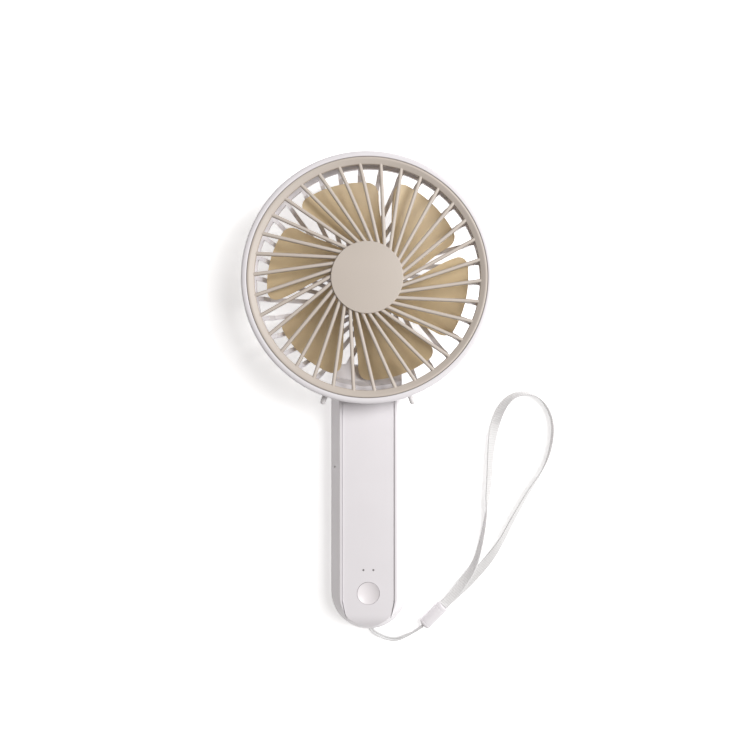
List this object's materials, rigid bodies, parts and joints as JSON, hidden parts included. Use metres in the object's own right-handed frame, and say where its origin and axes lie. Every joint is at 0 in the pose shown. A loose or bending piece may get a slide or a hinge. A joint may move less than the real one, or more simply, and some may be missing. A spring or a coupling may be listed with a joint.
{
  "type": "handheld folding fan",
  "caption": "Handheld fan with a round slanted-rib grille head, a folding straight handle with a recessed panel and button, and a wrist strap on a string.",
  "frame": {"origin": "centre of the fan's own box at its base, without the lanyard, with the fan lying on its back", "axes": "+X right, +Y from the handle to the head, +Z from the back to the front grille"},
  "size_m": [0.1389, 0.2189, 0.036],
  "materials": {
    "white_shell": "fine satin moulded",
    "greige_shell": "satin moulded",
    "white_rubber": "matte",
    "bronze": "sintered",
    "lamination_steel": "stacked sheet",
    "copper_wire": "enamelled wire",
    "circuit_laminate": "solder mask",
    "plated_steel": "nickel plated",
    "dark_insulation": "matte",
    "amber_translucent": "translucent smoky amber, smooth",
    "ferrite": "matte",
    "clear_lens": "diffusing",
    "cell_sleeve": "shrink sleeve",
    "white_webbing": "plain weave",
    "white_button": "satin, dished"
  },
  "bodies": {
    "head": {"head_rim": "white_shell", "front_grille": "greige_shell", "grille_disc": "greige_shell", "rear_housing": "white_shell", "stand_feet": "white_rubber", "shaft_bearing": "bronze", "stator_core": "lamination_steel", "stator_windings": "copper_wire", "motor_board": "circuit_laminate", "motor_screws": "plated_steel", "motor_leads": "dark_insulation", "hinge_pin": "plated_steel", "hinge_washers": "plated_steel"},
    "fan_wheel": {"impeller": "amber_translucent", "rotor_can": "plated_steel", "magnet_ring": "ferrite", "motor_shaft": "plated_steel"},
    "handle": {"hinge_knuckle": "white_shell", "front_shell": "white_shell", "rear_shell": "white_shell", "shell_screws": "plated_steel", "circuit_board": "circuit_laminate", "board_parts": "dark_insulation", "board_screws": "plated_steel", "tact_switch": "dark_insulation", "indicator_lenses": "clear_lens", "indicator_lamps": "clear_lens", "charging_socket": "plated_steel", "battery_cell": "cell_sleeve", "battery_tabs": "plated_steel", "battery_leads": "dark_insulation", "lanyard_bar": "plated_steel", "lanyard_string": "white_webbing", "lanyard_clip": "white_shell", "wrist_strap": "white_webbing"},
    "button": {"power_button": "white_button", "switch_plunger": "dark_insulation"}
  },
  "joints": [
    {"name": "fan_spin", "type": "hinge", "parent": "head", "child": "fan_wheel", "pos_m": [0, 0.0515, 0.0145], "axis": [0, 0, -1], "continuous": true},
    {"name": "handle_fold", "type": "hinge", "parent": "head", "child": "handle", "pos_m": [0, 0.0106, 0.007], "axis": [1, 0, 0], "range_deg": [0, 90]},
    {"name": "button_press", "type": "slide", "parent": "handle", "child": "button", "axis": [0, 0, -1], "range_m": [0, 0.0007], "stiffness_N_per_m": 600, "springref_m": -0.0008}
  ]
}
